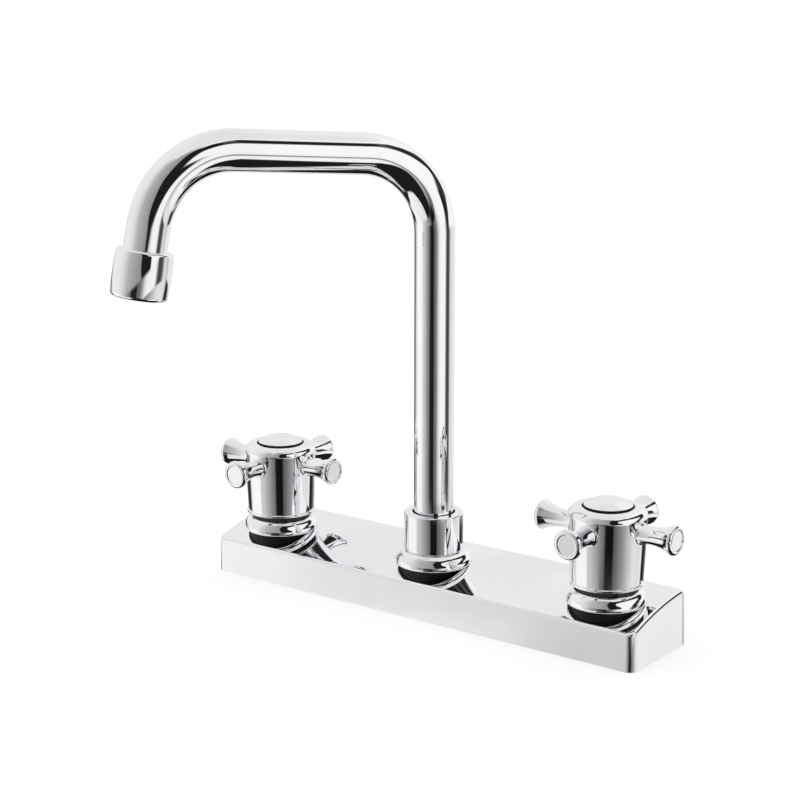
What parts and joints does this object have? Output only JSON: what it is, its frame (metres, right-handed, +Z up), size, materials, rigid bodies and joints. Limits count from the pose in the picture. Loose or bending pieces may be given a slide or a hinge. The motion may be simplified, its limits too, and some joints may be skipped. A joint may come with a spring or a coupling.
{
  "type": "basin mixer tap",
  "caption": "Deck-mounted basin mixer tap with a long sloping cover, two cross-head handles and a tall square-bent swivel spout.",
  "frame": {"origin": "on the mounting surface, under the spout's swivel axis and midway between the two handle axes", "axes": "+Z up along the swivel axis, +X along the deck cover towards the cold handle, -Y the front, towards the basin"},
  "size_m": [0.278, 0.18, 0.2466],
  "materials": {
    "chrome": "mirror-polished plating",
    "brass": "machined",
    "rubber": "matt",
    "ceramic": "lapped ceramic",
    "white_plastic": "moulded",
    "black_plastic": "moulded, glass-filled",
    "fibre": "pressed fibre",
    "steel": "bright"
  },
  "bodies": {
    "tap_body": {"base_gasket": "rubber", "cold_base_ring": "chrome", "cold_bridge_tube": "brass", "cold_cartridge_body": "brass", "cold_cartridge_washer": "fibre", "cold_clamp_nut": "black_plastic", "cold_fixed_disc": "ceramic", "cold_seat_seal": "rubber", "cold_valve_body": "brass", "deck_cover": "chrome", "hot_base_ring": "chrome", "hot_bridge_tube": "brass", "hot_cartridge_body": "brass", "hot_cartridge_washer": "fibre", "hot_clamp_nut": "black_plastic", "hot_fixed_disc": "ceramic", "hot_seat_seal": "rubber", "hot_valve_body": "brass", "slip_washer": "white_plastic", "spout_base_ring": "chrome", "spout_block": "brass", "spout_collar_nut": "chrome", "swivel_bush": "white_plastic"},
    "hot_handle": {"hot_handle_hub": "chrome", "hot_handle_arms": "chrome", "hot_index_cap": "chrome", "hot_handle_screw": "steel", "hot_spline_insert": "white_plastic", "hot_spindle": "brass", "hot_spindle_clip": "steel", "hot_spindle_o_ring": "rubber", "hot_moving_disc": "ceramic"},
    "cold_handle": {"cold_handle_hub": "chrome", "cold_handle_arms": "chrome", "cold_index_cap": "chrome", "cold_handle_screw": "steel", "cold_spline_insert": "white_plastic", "cold_spindle": "brass", "cold_spindle_clip": "steel", "cold_spindle_o_ring": "rubber", "cold_moving_disc": "ceramic"},
    "spout": {"spout_tube": "chrome", "spout_shank": "brass", "shank_o_rings": "rubber", "outlet_ferrule": "chrome", "aerator_housing": "chrome", "outlet_washer": "rubber", "aerator_insert": "white_plastic"}
  },
  "joints": [
    {"name": "hot_turn", "type": "hinge", "parent": "tap_body", "child": "hot_handle", "pos_m": [-0.1016, 0, 0.045], "axis": [0, 0, 1], "range_deg": [0, 90]},
    {"name": "cold_turn", "type": "hinge", "parent": "tap_body", "child": "cold_handle", "pos_m": [0.1016, 0, 0.045], "axis": [0, 0, 1], "range_deg": [-90, 0]},
    {"name": "spout_swivel", "type": "hinge", "parent": "tap_body", "child": "spout", "pos_m": [0, 0, 0.04], "axis": [0, 0, 1], "continuous": true}
  ]
}
